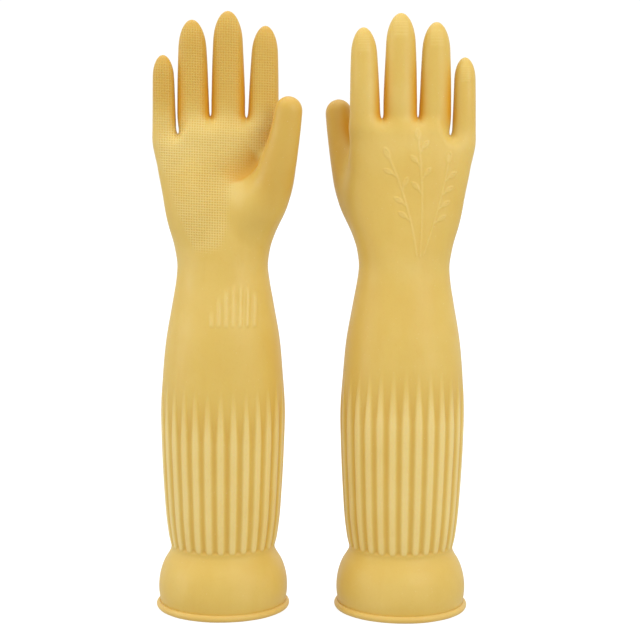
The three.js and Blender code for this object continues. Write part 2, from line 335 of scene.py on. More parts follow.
def onto_surface(p, rounds=6, longest=2.5):
    """Moves points onto the glove's surface."""
    p = p.copy()
    for _ in range(rounds):
        f, g = glove_field(p), field_slope(p)
        move = -(f / np.maximum((g * g).sum(1), 0.05))[:, None] * g
        length = np.linalg.norm(move, axis=1, keepdims=True)
        p += move * np.minimum(1, longest / np.maximum(length, 1e-9))
    return p


# ---------------- the net of quads

FRONT, BACK = 56, 44  # columns from one side of the sleeve to the other, over the palm side and over the back
THUMB_WEB_LEVEL = 331.0
THUMB_CREASE = (25.0, -18.0)
THUMB_BACK_VALLEY = (43.5, -3.0)
THUMB_WEB_RISE = 15.0
THUMB_WEB_STEPS = 8
FINGER_WEB_STEPS = 6
FINGER_LEVEL = 362.0
LITTLE_LEVEL = 351.0
LITTLE_LEVEL_STEP = (20.0, 34.0)
ROW = 2.0  # height of a row of quads over the hand
# Up to which height the rows of quads are how tall: low where the outline turns quickly.
SLEEVE_ROWS = [(34.0, 3.0), (58.0, 1.5), (RIBS_TOP, 3.8), (WRIST, 3.3), (THUMB_WEB_LEVEL, ROW)]
HAND_MIDDLE = (0.0, -3.0)
CROTCH_RISE = 2.0  # height of the net's webs above those of the palm
WEB_CORNER = math.radians(30)  # how far round a finger each end of a web is from its side
FINGER_ROUNDING = 12.0  # height over which a finger takes on its own section
FINGER_CAP, THUMB_CAP = 7, 5  # steps up a rounded end


class Net:
    """Points, and faces marked with the piece they belong to."""

    def __init__(self):
        self.points, self.faces, self.zones = [], [], []

    def add(self, points):
        start = len(self.points)
        self.points.extend(np.asarray(points, float))
        return list(range(start, len(self.points)))

    def band(self, lower, upper, zone):
        """Quads between two closed loops."""
        n = len(lower)
        for k in range(n):
            after = (k + 1) % n
            self.faces.append((lower[k], lower[after], upper[after], upper[k]))
            self.zones.append(zone)

    def cap(self, loop, point, zone):
        tip = self.add([point])[0]
        for k, corner in enumerate(loop):
            self.faces.append((corner, loop[(k + 1) % len(loop)], tip))
            self.zones.append(zone)

    def digit(self, name, loops, lower, point):
        """Bands between a digit's loops, the lower ones its base and the rest its tip, and its end."""
        for j, (below, above) in enumerate(zip(loops, loops[1:])):
            self.band(below, above, f"{name}_base" if j < lower else f"{name}_tip")
        self.cap(loops[-1], point, f"{name}_tip")

    def at(self, loop):
        return np.array([self.points[i] for i in loop])


def resample(line, steps):
    """steps + 1 points at equal distances along an open line."""
    lengths = lengths_along(line)
    wanted = np.linspace(0, lengths[-1], steps + 1)
    return np.stack([np.interp(wanted, lengths, line[:, axis]) for axis in range(line.shape[1])], axis=1)


def sides_of(outline):
    """A closed outline split at its leftmost and rightmost points into the palm side and the back."""
    outline = np.roll(outline, -int(np.argmin(outline[:, 0])), axis=0)
    right = int(np.argmax(outline[:, 0]))
    return outline[: right + 1], np.vstack([outline[right:], outline[:1]])


def outline_at(z, samples=360):
    """The field's outline at a height, anticlockwise from above, from rays out of the middle."""
    angle = np.linspace(0, 2 * math.pi, samples, endpoint=False)
    ray = circle(angle)
    middle = np.array(HAND_MIDDLE) if z > 280 else np.zeros(2)
    near, far = np.full(samples, 1.0), np.full(samples, 75.0)
    for _ in range(22):
        half = (near + far) / 2
        points = np.column_stack([middle + ray * half[:, None], np.full(samples, z)])
        inside = glove_field(points) < 0
        near, far = np.where(inside, half, near), np.where(inside, far, half)
    return middle + ray * near[:, None]


def sleeve_levels():
    """Heights of the rows from the rim to the thumb's web, one of them at each seam."""
    starts = [BELL_BOTTOM, *(top for top, _ in SLEEVE_ROWS)]
    parts = [np.arange(start, top, row) for start, (top, row) in zip(starts, SLEEVE_ROWS)]
    levels = np.concatenate([*parts, [THUMB_WEB_LEVEL]])
    for mark in (WAIST, RIBS_TOP, WRIST):
        levels[np.argmin(np.abs(levels - mark))] = mark
    return levels


def zone_at(z):
    for zone, top in (("bell_cuff", WAIST), ("ribbed_sleeve", RIBS_TOP), ("forearm_sleeve", WRIST)):
        if z < top - 0.01:
            return zone
    return "palm"


def build_sleeve(net):
    """Rows from the rim up to the thumb's web. Returns the top one."""
    levels = sleeve_levels()
    loops = []
    for z in levels:
        palm_side, back = sides_of(outline_at(z))
        ring = np.vstack([resample(palm_side, FRONT)[:-1], resample(back, BACK)[:-1]])
        loops.append(net.add(np.column_stack([ring, np.full(len(ring), z)])))
    for z, lower, upper in zip(levels, loops, loops[1:]):
        net.band(lower, upper, zone_at(z))
    return loops[-1]


def nearest_in(net, loop, low, high, point):
    """Position in a loop, from low to high, of the point nearest to one."""
    points = net.at(loop)[low:high, : len(point)]
    return low + int(np.argmin(np.linalg.norm(points - np.array(point), axis=1)))


def arch(net, start, end, steps, rise):
    """Points between two of the net's, arched upwards."""
    a, b = net.points[start], net.points[end]
    t = np.linspace(0, 1, steps + 1)[1:-1, None]
    line = a + (b - a) * t
    line[:, 2:] += rise * np.sin(math.pi * t) ** 0.7
    return net.add(line)


def palm_outline(z):
    """Outline of the palm alone at a height."""
    low, high, depth, power = arm_at(np.array(z))
    angle = np.linspace(math.pi, 3 * math.pi, 361)[:-1]
    c, s = np.cos(angle), np.sin(angle)
    reach = (np.abs(c) ** power + np.abs(s) ** power) ** (-1 / power)
    return np.stack([(low + high) / 2 + (high - low) / 2 * c * reach, depth * s * reach], axis=1)


def build_upper_palm(net, base):
    """Splits the top row at the thumb's web: the palm's last row, its thumb side, the thumb's first loop."""
    crease = nearest_in(net, base, 20, FRONT, THUMB_CREASE)
    valley = nearest_in(net, base, FRONT, FRONT + 20, THUMB_BACK_VALLEY)
    web = arch(net, base[crease], base[valley], THUMB_WEB_STEPS, THUMB_WEB_RISE)
    thumb_loop = base[crease : valley + 1] + web[::-1]
    loop = base[: crease + 1] + web + base[valley:]
    start = net.at(loop)
    crease_x = start[crease, 0]

    def outline(z):
        palm_side, back = sides_of(palm_outline(z))
        cut = int(np.argmin(np.abs(palm_side[:, 0] - crease_x)))
        runs = [(palm_side[: cut + 1], crease), (palm_side[cut:], THUMB_WEB_STEPS)]
        runs.append((back, len(base) - valley))
        return np.vstack([resample(line, steps)[:-1] for line, steps in runs])

    levels = np.linspace(THUMB_WEB_LEVEL, FINGER_LEVEL, 12)
    outlines = np.array([outline(z) for z in levels])
    steps = round((FINGER_LEVEL - THUMB_WEB_LEVEL) / ROW)
    top = FINGER_LEVEL + (LITTLE_LEVEL - FINGER_LEVEL) * smoothstep(-start[:, 0], *LITTLE_LEVEL_STEP)
    loops = [loop]
    for j in range(1, steps + 1):
        z = start[:, 2] + (top - start[:, 2]) * j / steps
        ring = np.stack([
            [np.interp(z[k], levels, outlines[:, k, axis]) for k in range(len(z))] for axis in (0, 1)
        ], axis=1)
        share = smoothstep(np.array(j / steps), 0, 0.5)
        ring = start[:, :2] * (1 - share) + ring * share
        loops.append(net.add(np.column_stack([ring, z])))
    for lower, upper in zip(loops, loops[1:]):
        net.band(lower, upper, "palm")
    return loops[-1], crease + THUMB_WEB_STEPS, thumb_loop


def spread_angles(points, anchors):
    """Angles for a loop's points: those of the anchors, and between them by distance."""
    n = len(points)
    out = np.zeros(n)
    spots = sorted(anchors)
    for first, second in zip(spots, spots[1:] + [spots[0] + n]):
        run = np.array([points[k % n] for k in range(first, second + 1)])
        lengths = lengths_along(run)
        low, high = anchors[first], anchors[second % n]
        high += 2 * math.pi if second >= n else 0
        for k in range(first, second):
            out[k] = low + (high - low) * lengths[k - first] / lengths[-1]
    return out


def finger_ring(finger, z, angle, scale=1):
    """A finger's section at a height, seen from above."""
    x, y, width, depth = finger_middle(finger, z)
    return np.stack([x + width * scale * np.cos(angle), y + depth * scale * np.sin(angle)], axis=1)


def build_finger(net, name, loop, anchors):
    """A finger on its first loop: rows to a level seam between the hinges, then to the tip."""
    finger = FINGERS[name]
    start = net.at(loop)
    angle = spread_angles(start, anchors)
    length = tip_length(finger)
    seam, shoulder = seam_between(f"{name}_root_bend", f"{name}_middle_bend")[2], finger["top"] - length
    lower = round((seam - start[:, 2].mean()) / ROW)
    upper = round((shoulder - seam) / ROW)
    rows = [start[:, 2] + (seam - start[:, 2]) * j / lower for j in range(1, lower + 1)]
    rows += [np.full(len(loop), seam + (shoulder - seam) * j / upper) for j in range(1, upper + 1)]
    loops = [loop]
    for z in rows:
        ring = finger_ring(finger, z, angle)
        share = smoothstep(z - start[:, 2], 0, FINGER_ROUNDING)[:, None]
        ring = start[:, :2] * (1 - share) + ring * share
        loops.append(net.add(np.column_stack([ring, z])))
    for turn in cap_turns(FINGER_CAP):
        z = shoulder + length * math.sin(turn)
        ring = finger_ring(finger, z, angle, math.cos(turn))
        loops.append(net.add(np.column_stack([ring, np.full(len(ring), z)])))
    x, y, _, _ = finger_middle(finger, finger["top"])
    net.digit(name, loops, lower, (x, y, finger["top"]))


def cap_turns(steps):
    """Angles up a rounded end, without its foot and its pole."""
    return [math.pi / 2 * i / steps for i in range(1, steps)]


def seam_between(root, tip):
    """Where the pieces on either side of two hinges meet."""
    return (hinge(root) + hinge(tip)) / 2


def build_fingers(net, loop, radial):
    """Splits the palm's last row into four loops and raises a finger on each."""
    names = list(FINGERS)
    slots = []
    for one, other in zip(names, names[1:]):
        a, b = FINGERS[one], FINGERS[other]
        x = (a["root"] + a["width"] + b["root"] - b["width"]) / 2
        palm_side = nearest_in(net, loop, 4, radial, (x,))
        back = nearest_in(net, loop, radial, len(loop), (x,))
        height = net.points[loop[palm_side]][2]
        crotch = PALM_TOP - (LITTLE_WEB_DROP if one == "little" else 0) + CROTCH_RISE
        web = arch(net, loop[palm_side], loop[back], FINGER_WEB_STEPS, crotch - height)
        slots.append((palm_side, back, web))
    ends = [(0, len(loop) - 1, []), *slots, (radial, radial + 1, [])]
    for name, first, last in zip(names, ends, ends[1:]):
        members = loop[first[0] : last[0] + 1]
        anchors = {0: math.pi, len(members) - 1: 2 * math.pi}
        if last[2]:
            anchors[len(members) - 1] = 2 * math.pi - WEB_CORNER
            anchors[len(members) + len(last[2])] = 2 * math.pi + WEB_CORNER
        members += last[2] + loop[last[1] : first[1] + 1]
        if first[2]:
            anchors[0] = math.pi + WEB_CORNER
            anchors[len(members) - 1] = 3 * math.pi - WEB_CORNER
        members += first[2][::-1]
        build_finger(net, name, members, anchors)


def thumb_middle(height):
    """Middle, radius and sideways lean of the thumb at a height."""
    x, y, radius = np.moveaxis(thumb_at(height), -1, 0)
    lean = (thumb_at(height + 3)[..., :2] - thumb_at(height - 3)[..., :2]) / 6
    return np.stack([x, y], axis=-1), radius, lean


def build_thumb(net, loop):
    """The thumb on its first loop: rows to a seam square to it between the hinges, then to the tip."""
    start = net.at(loop)
    middle, _, _ = thumb_middle(start[:, 2])
    offset = start[:, :2] - middle
    base_angle = np.unwrap(np.arctan2(offset[:, 1], offset[:, 0]))
    n = len(loop)
    lengths = lengths_along(start)
    total = lengths[-1] + np.linalg.norm(start[0] - start[-1])
    even = base_angle[0] + 2 * math.pi * lengths / total
    even += (base_angle - even).mean()
    shoulder = THUMB_LINE[-1, 0]
    seam = seam_between("thumb_spread", "thumb_tip_bend")[2]
    lower = round((seam - start[:, 2].mean()) / ROW)
    upper = round((shoulder - seam) / ROW)
    rows = [(start[:, 2] + (seam - start[:, 2]) * j / lower, j / lower, 1) for j in range(1, lower + 1)]
    for j in range(1, upper + 1):
        rows.append((np.full(n, seam + (shoulder - seam) * j / upper), 1, 1 - 0.8 * j / upper))
    loops = [loop]
    for z, progress, tilt in rows:
        share = smoothstep(np.array(progress), 0, 0.7)
        angle = base_angle * (1 - share) + even * share
        middle, radius, lean = thumb_middle(z)
        spokes = circle(angle) * radius[:, None]
        height = z - (spokes * lean).sum(1) * share * tilt
        loops.append(net.add(np.column_stack([middle + spokes, height])))
    centre, radius, _ = thumb_middle(np.array(shoulder))
    for turn in cap_turns(THUMB_CAP):
        spokes = circle(even) * radius * math.cos(turn)
        height = np.full(n, shoulder + radius * math.sin(turn))
        loops.append(net.add(np.column_stack([centre + spokes, height])))
    net.digit("thumb", loops, lower, (*centre, shoulder + radius))


def neighbours_of(faces, count):
    """Pairs of joined points, both ways round, and how many neighbours each point has."""
    edges = set()
    for face in faces:
        for a, b in zip(face, face[1:] + face[:1]):
            edges.add((min(a, b), max(a, b)))
    pairs = np.array(sorted(edges))
    pairs = np.vstack([pairs, pairs[:, ::-1]])
    degree = np.bincount(pairs[:, 0], minlength=count)
    return pairs, degree


def relax(points, faces, loosest, rounds=30, spread=9, pull=0.6):
    """Evens out the net near the webs, and less and less over spread rows around them, on the surface."""
    pairs, degree = neighbours_of(faces, len(points))
    weight = np.zeros(len(points))
    weight[loosest] = 1.0
    for _ in range(spread):
        reach = np.zeros(len(points))
        np.maximum.at(reach, pairs[:, 0], weight[pairs[:, 1]])
        weight = np.maximum(weight, reach * 0.8)
    weight = np.clip(weight * 1.3 - 0.1, 0, 1)[:, None]
    moving = weight[:, 0] > 0
    points = points.copy()
    points[moving] = onto_surface(points[moving], rounds=12)
    for turn in range(rounds):
        total = np.zeros_like(points)
        np.add.at(total, pairs[:, 0], points[pairs[:, 1]])
        points += (total / degree[:, None] - points) * pull * weight
        if turn % 3 == 2:
            points[moving] = onto_surface(points[moving], rounds=2)
    return points


def build_net():
    net = Net()
    base = build_sleeve(net)
    palm_row, radial, thumb_loop = build_upper_palm(net, base)
    before = len(net.points)
    build_fingers(net, palm_row, radial)
    web_points = list(range(before, before + 3 * (FINGER_WEB_STEPS - 1)))
    build_thumb(net, thumb_loop)
    loosest = web_points + thumb_loop
    points = np.array(net.points)
    hand = points[:, 2] > WRIST
    points[hand] = onto_surface(points[hand], rounds=10)
    return relax(points, net.faces, loosest), net.faces, net.zones


# ---------------- moulded relief

RIB_COUNT = 28
RIB_HEIGHT = 1.3
RIB_TURN = -0.015  # radians from the middle of the palm side to the nearest rib's crest
RIBS_FOOT = WAIST + 1.6
RIBS_POINT = 184.0  # height of the ribs' upper points at the sides
RIBS_TILT = 8.0  # how much higher they are at the back, and lower in front
RIB_FADE = 46.0  # length over which a rib narrows to its point
RIB_ROUNDING = 4.5  # height of a rib's round foot
RIB_SUNK = 0.8  # share of the ribs' height that is below the plain film

GRIP_PITCH = 1.9
GRIP_HEIGHT = 0.24
GRIP_SUNK = 0.4
GRIP_FADE = 0.7  # how much shallower the grid is on the fingers
GRIP_TILT = 0.05
# Height, and the grip grid's edges on the little-finger and thumb sides of the palm.
GRIP_EDGES = np.array([
    (270, -20, -4),
    (274, -22, 1),
    (290, -29, 7),
    (310, -37, 8),
    (325, -42, 11),
    (338, -47, 24),
    (346, -48, 28),
    (352, -49, 36),
    (370, -50, 38),
])

TIP_RIDGE_PITCH, TIP_RIDGE_HEIGHT = 1.8, 0.2
FAN = {"middle": 9.2, "pitch": 5.2, "count": 7, "bottom": 217.0, "top": 251.0, "height": 0.6}
PALM_FOLD = {"start": (27.0, 341.0), "end": (6.0, 324.0), "bow": 3.0, "depth": (2.1, 0.6)}


def lines_distance(points, lines):
    """Distance in the plane from points to the nearest of several lines."""
    nearest = np.full(len(points), 1e9)
    for line in lines:
        for a, b in zip(line[:-1], line[1:]):
            along = b - a
            t = np.clip(((points - a) @ along) / max(along @ along, 1e-9), 0, 1)
            nearest = np.minimum(nearest, np.linalg.norm(points - a - t[:, None] * along, axis=1))
    return nearest


def rib_relief(p):
    """Height of the ribs, which end in points, and the painted shade that goes with it: paler on the crests,
    deeper in the grooves.
    """
    x, y, z = p.T
    angle = np.arctan2(y, x)
    crest = np.cos(RIB_COUNT * (angle + math.pi / 2 + RIB_TURN))
    top = RIBS_POINT + RIBS_TILT * np.sin(angle)
    upper = np.clip((z - (top - RIB_FADE)) / RIB_FADE, 0, 1)
    lower = 1 - np.sqrt(np.clip(1 - (1 - np.clip((z - RIBS_FOOT) / RIB_ROUNDING, 0, 1)) ** 2, 0, 1))
    edge = -1.0 + 2.0 * np.maximum(upper, lower)
    body = smoothstep((crest - edge) / np.maximum(1 - edge, 0.05), -0.2, 0.85)
    within = smoothstep(z, RIBS_FOOT - 0.6, RIBS_FOOT + 2.4) * (1 - smoothstep(upper, 0.1, 1.0))
    return RIB_HEIGHT * within * (body - RIB_SUNK), within * (body - 0.45) * (1 - 0.6 * upper)


def grip_lines(place):
    """1 on the lines of one family of the grip grid, 0 between them."""
    return (0.5 + 0.5 * np.cos(2 * math.pi * place / GRIP_PITCH)) ** 1.4


def grip_pattern(x, z):
    return 1 - (1 - grip_lines(x)) * (1 - grip_lines(z + GRIP_TILT * x))


def finger_shares(p):
    """How far across its finger each point is, as a share of the half width, and its finger's top."""
    x, _, z = p.T
    across, top = np.full(len(p), 9.0), np.zeros(len(p))
    for finger in FINGERS.values():
        middle, _, width, _ = finger_middle(finger, z)
        share = (x - middle) / width
        closer = np.abs(share) < np.abs(across)
        across, top = np.where(closer, share, across), np.where(closer, finger["top"], top)
    return across, top


def grip_cover(p, normal):
    """Where the grip grid is: 1 on the palm and the palm side of the fingers."""
    x, _, z = p.T
    low = np.interp(z, GRIP_EDGES[:, 0], GRIP_EDGES[:, 1])
    high = np.interp(z, GRIP_EDGES[:, 0], GRIP_EDGES[:, 2])
    palm = window(x, low - 1, low + 4, high - 7, high + 1)
    palm *= smoothstep(z, GRIP_EDGES[0, 0] - 1, GRIP_EDGES[0, 0] + 9)
    across, top = finger_shares(p)
    fingers = (1 - smoothstep(np.abs(across), 0.74, 0.86)) * (1 - smoothstep(z, top - 7, top - 4))
    above = smoothstep(z, 360, 368)
    cover = palm * (1 - above) + fingers * above
    return cover * smoothstep(-normal[:, 1], 0.1, 0.35)


def tip_ridges(p, normal):
    """Fine ridges across the back of each fingertip."""
    across, top = finger_shares(p)
    z = p[:, 2]
    cover = window(z, top - 20, top - 18.5, top - 6.5, top - 5)
    cover *= (1 - smoothstep(np.abs(across), 0.42, 0.56)) * smoothstep(normal[:, 1], 0.3, 0.6)
    return TIP_RIDGE_HEIGHT * cover * (0.5 + 0.5 * np.cos(2 * math.pi * (top - z) / TIP_RIDGE_PITCH))


def fan_relief(p, normal):
    """A fan of short upright ribs on the palm side of the forearm, tallest in the middle."""
    x, _, z = p.T
    total = np.zeros(len(p))
    for k in range(FAN["count"]):
        aside = k - (FAN["count"] - 1) / 2
        middle = FAN["middle"] + aside * FAN["pitch"] * (1 + 0.0012 * (z - FAN["bottom"]))
        top = FAN["top"] - 1.6 * (aside - 0.5) ** 2 * (1.0 if aside < 0.5 else 0.55)
        across = 1 - smoothstep(np.abs(x - middle), 0.5, 2.0)
        along = window(z, FAN["bottom"], FAN["bottom"] + 2.5, top - 9, top)
        total += across * along
    return FAN["height"] * total * (normal[:, 1] < 0)


def bent_line(start, direction, bend, length, steps=14):
    """A line in the plane that leaves in a direction, in degrees, and turns evenly by bend."""
    turn = np.radians(direction + bend * np.linspace(0, 1, steps))
    step = circle(turn) * length / steps
    return np.vstack([[start], np.array(start) + np.cumsum(step, axis=0)])


def leaf_lines(start, direction, length):
    """Outline and midrib of an almond-shaped leaf."""
    sides = [bent_line(start, direction + side * LEAF_OPENING, -side * 2 * LEAF_OPENING, length * 1.06, 9)
             for side in (1, -1)]
    return [*sides, bent_line(start, direction, 0, length * 0.62, 3)]


# Stems of the sprig: start, direction and bend in degrees, length, and the places and sides of its leaves.
STEMS = [
    ((-8.0, 271.0), 82, -16, 74.0, ((9, -1), (13, -1), (17, 1), (21, -1))),
    ((-10.5, 270.0), 94, -10, 86.0, ((14, -1), (17, 1), (20, -1), (23, 1))),
    ((-13.0, 271.0), 110, -10, 70.0, ((9, 1), (13, 1), (17, 1), (21, 1))),
]
STEM_STEPS = 26
LEAF_LENGTH, END_LEAF_LENGTH = 7.0, 9.0
LEAF_OPENING = 34  # degrees between a leaf's midrib and each side where it starts
TWIG_LENGTH, TWIG_ANGLE = 4.0, 42
SPRIG_HEIGHT = 0.42


def sprig_lines():
    """A raised sprig of leaves for the back of the hand."""
    lines = []
    for start, direction, bend, length, leaves in STEMS:
        stem = bent_line(start, direction, bend, length, STEM_STEPS)
        lines.append(stem)
        for place, side in leaves:
            heading = direction + bend * place / STEM_STEPS + side * TWIG_ANGLE
            twig = bent_line(stem[place], heading, -side * 18, TWIG_LENGTH, 4)
            lines.append(twig)
            lines += leaf_lines(twig[-1], heading, LEAF_LENGTH)
        lines += leaf_lines(stem[-1], direction + bend, END_LEAF_LENGTH)
    return lines


def sprig_relief(p, normal):
    on = (normal[:, 1] > 0.1) & (p[:, 2] > 264) & (p[:, 2] < 374)
    out = np.zeros(len(p))
    distance = lines_distance(p[on][:, [0, 2]], sprig_lines())
    out[on] = SPRIG_HEIGHT * (1 - smoothstep(distance, 0.1, 0.95))
    return out


def palm_fold(p, normal, gentle, steep):
    """How far along the palm's fold a point is, and how deep in it: gentle above, steep at the thumb."""
    start, end = np.array(PALM_FOLD["start"]), np.array(PALM_FOLD["end"])
    length = np.linalg.norm(end - start)
    direction = (end - start) / length
    offset = p[:, [0, 2]] - start
    along = offset @ direction
    above = offset @ np.array([direction[1], -direction[0]])
    above += PALM_FOLD["bow"] * np.sin(math.pi * np.clip(along / length, 0, 1))
    width = np.where(above > 0, gentle, steep)
    ends = window(along, -3, 3, length - 8, length + 6)
    return along / length, ends * hump(above / width) * smoothstep(-normal[:, 1], 0.0, 0.3)


def fold_relief(p, normal):
    along, share = palm_fold(p, normal, 5.5, 1.9)
    deep, shallow = PALM_FOLD["depth"]
    return -share * (deep + (shallow - deep) * np.clip(along, 0, 1))


def waviness(p, seed=7):
    """The slow unevenness of a dipped film."""
    rng = np.random.default_rng(seed)
    total = np.zeros(len(p))
    for _ in range(9):
        direction = rng.normal(size=3)
        direction /= np.linalg.norm(direction)
        length = rng.uniform(24, 70)
        total += np.sin(2 * math.pi * (p @ direction) / length + rng.uniform(0, 6.3)) * length / 70
    return 0.05 * total


def film_tone_and_painted_highlights(p, normal):
    """The film's slow change of tone, deeper on the thumb and the palm side of the fingers, with painted
    highlights on the knuckles and the ball of the thumb.
    """
    x, y, z = p.T
    thumb = smoothstep(x - 0.9 * y, 46, 60) * smoothstep(z, 296, 325)
    # Painted highlights: a paler band across the knuckles and a pale spot on the ball of the thumb.
    knuckles = hump((z - 354) / 12) * (1 - smoothstep(x, 20, 40)) * (1 - thumb)
    mound = hump((x - 10) / 7, (z - 316) / 11) * (normal[:, 1] < 0)
    gripping = smoothstep(z, 366, 392) * smoothstep(-normal[:, 1], -0.3, 0.5)
    return 0.1 * knuckles + 0.3 * mound - 0.3 * thumb - 0.45 * gripping * (1 - thumb)


def nook(p, normal):
    """How shut in a point is: 1 between fingers or beside the thumb, less in the fold, 0 in the open. The
    material paints warm shade by it.
    """
    _, top = finger_shares(p)
    x, y, z = p.T
    names = list(FINGERS)
    inner = np.zeros(len(p))
    for one, other in zip(names, names[1:]):
        a, b = FINGERS[one], FINGERS[other]
        slit = (finger_middle(a, z)[0] + finger_middle(b, z)[0]) / 2
        inner = np.maximum(inner, 1 - smoothstep(np.abs(x - slit), 0.5, 12.0))
    inner *= window(z, 362, 376, top - 60, top - 20)
    inner *= smoothstep(np.abs(normal[:, 0]), 0.1, 0.8)
    thumb_side = smoothstep(0.6 * normal[:, 1] - 0.8 * normal[:, 0], 0.2, 0.9) * smoothstep(x, 30, 36)
    thumb_side *= window(z, 335, 345, 362, 386) * smoothstep(-y, 10, 16)
    fold = palm_fold(p, normal, 11.0, 1.6)[1]
    return np.clip(inner + thumb_side + 0.7 * fold, 0, 1)


# ---------------- the glove's pieces

PIECES = ["bell_cuff", "ribbed_sleeve", "forearm_sleeve", "palm", "thumb_base", "thumb_tip"]
PIECES += [f"{name}_{part}" for name in FINGERS for part in ("base", "tip")]


def values_of(items, key, kind=int, width=1):
    values = np.empty(len(items) * width, kind)
    items.foreach_get(key, values)
    return values


def glove_mesh():
    """The whole glove as one subdivided mesh in millimetres: points, quads and the piece of each quad."""
    points, faces, zones = build_net()
    mesh = bpy.data.meshes.new("net")
    mesh.from_pydata(points.tolist(), [], faces)
    for name in PIECES:
        mesh.materials.append(bpy.data.materials.new(name))
    mesh.polygons.foreach_set("material_index", [PIECES.index(zone) for zone in zones])
    net = add_object("net", mesh)
    net.modifiers.new("finer", "SUBSURF").levels = 2
    fine = net.evaluated_get(bpy.context.evaluated_depsgraph_get()).to_mesh()
    points = values_of(fine.vertices, "co", float, 3)
    quads = values_of(fine.loops, "vertex_index")
    zone = values_of(fine.polygons, "material_index")
    bpy.data.objects.remove(net)
    return points.reshape(-1, 3), quads.reshape(-1, 4), zone


def vertex_normals(points, quads):
    """Area-weighted normals of a mesh of quads."""
    a, b, c, d = (points[quads[:, k]] for k in range(4))
    face = np.cross(c - a, d - b)
    out = np.zeros_like(points)
    for k in range(4):
        for axis in range(3):
            out[:, axis] += np.bincount(quads[:, k], weights=face[:, axis], minlength=len(points))
    return out / np.maximum(np.linalg.norm(out, axis=1, keepdims=True), 1e-12)


def moulded_glove():
    """The glove with its relief, and what its material needs to know at every point."""
    rest, quads, zone = glove_mesh()
    normals = vertex_normals(rest, quads)
    ribs, ribbed = rib_relief(rest)
    grip = grip_cover(rest, normals)
    pressed = grip * (grip_pattern(rest[:, 0], rest[:, 2]) - GRIP_SUNK)
    pressed *= GRIP_HEIGHT * (1 - GRIP_FADE * smoothstep(rest[:, 2], 352, 372))
    ridges = tip_ridges(rest, normals)
    marks = sprig_relief(rest, normals) + fan_relief(rest, normals)
    height = ribs + pressed + marks + ridges + fold_relief(rest, normals) + waviness(rest)
    points = rest + normals * height[:, None]
    # raised holds painted shade and highlight of the relief, paler on rib crests, raised marks and tip ridges
    # and deeper in the grooves, with the film's tone; nook holds where warm shade is painted.
    data = {
        "raised": 0.5 + 0.9 * ribbed + 0.3 * marks + 0.8 * ridges + film_tone_and_painted_highlights(rest, normals),
        "grip": grip,
        "nook": nook(rest, normals),
    }
    return points, vertex_normals(points, quads), quads, zone, rest, data


# The film's edge round the bead: radians up from the outermost side, width and height.
LIP_ANGLE, LIP_WIDTH, LIP_HEIGHT = 1.2, 0.28, 0.22


def rolled_bead():
    """The rim, rolled up into a bead: points and quads in millimetres."""
    rounds, sides = 320, 28
    tube = BEAD_HEIGHT / 2
    ring = RIM_RADIUS - tube
    rng = np.random.default_rng(3)
    turn = np.linspace(0, 2 * math.pi, rounds, endpoint=False)
    swell = sum(0.035 * np.sin(k * turn + rng.uniform(0, 6.3)) for k in (2, 3, 5, 9, 14))
    angle = np.linspace(0, 2 * math.pi, sides, endpoint=False)
    lip = LIP_HEIGHT * hump((angle - LIP_ANGLE) / LIP_WIDTH)
    foot = 1 - 0.03 * smoothstep(-np.sin(angle), 0.8, 1.0)
    radius = (tube + swell[:, None] * 0.5 + lip[None, :]) * foot[None, :]
    out = ring + radius * np.cos(angle)
    height = tube + radius * np.sin(angle)
    height -= height.min()
    points = np.stack([out * np.cos(turn)[:, None], out * np.sin(turn)[:, None], height], axis=2)
    points = points.reshape(-1, 3)
    row, column = np.meshgrid(np.arange(rounds), np.arange(sides), indexing="ij")
    after_row, after_column = (row + 1) % rounds, (column + 1) % sides
    corners = [(row, column), (after_row, column), (after_row, after_column), (row, after_column)]
    quads = np.stack([(r * sides + c).ravel() for r, c in corners], axis=1)
    return points, quads


def add_object(name, data):
    made = bpy.data.objects.new(name, data)
    bpy.context.scene.collection.objects.link(made)
    return made


def add_piece(name, points, normals, quads, rest, data, material):
    """One piece of a glove as an object, with smooth normals that match its neighbours'."""
    mesh = bpy.data.meshes.new(name)
    mesh.from_pydata((points / MM).tolist(), [], quads.tolist())
    mesh.materials.append(material)
    mesh.shade_smooth()
    mesh.attributes.new("rest", "FLOAT_VECTOR", "POINT").data.foreach_set("vector", (rest / MM).ravel())
    for key, values in data.items():
        mesh.attributes.new(key, "FLOAT", "POINT").data.foreach_set("value", values)
    mesh.normals_split_custom_set_from_vertices(normals.tolist())
    return add_object(name, mesh)


def placed(vectors, glove, move=True):
    """Glove-frame points or directions in the pair's frame, in millimetres."""
    c, s = math.cos(GLOVES[glove]), math.sin(GLOVES[glove])
    turned = vectors @ np.array([[c, s, 0], [-s, c, 0], [0, 0, 1]])
    side = RIM_CENTRE if glove == 1 else -RIM_CENTRE
    return turned + side if move else turned


def blend_between(piece, direction=(0, 0, 1)):
    """Bakes a piece's placement into its mesh."""
    direction = np.array(direction, float) / np.linalg.norm(direction)
    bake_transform(piece)


THUMB_AXIS = hinge("thumb_tip_bend") - hinge("thumb_spread")


def attach(piece, glove, part):
    """Puts the bell cuff, ribbed sleeve and bead on the sleeve's body, bakes the other pieces in place, and
    hides the CAD node a piece stands for.
    """
    digit, _, end = part.partition("_")
    if part in ("forearm_sleeve", "palm"):
        blend_between(piece)
    elif part == "thumb_base":
        blend_between(piece, THUMB_AXIS)
    elif part == "thumb_tip":
        blend_between(piece, THUMB_AXIS)
    elif end == "base":
        blend_between(piece)
    elif end == "tip":
        blend_between(piece)
    else:
        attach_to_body(piece, f"glove_{glove}_sleeve")
    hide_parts(f"glove_{glove}_{part}")


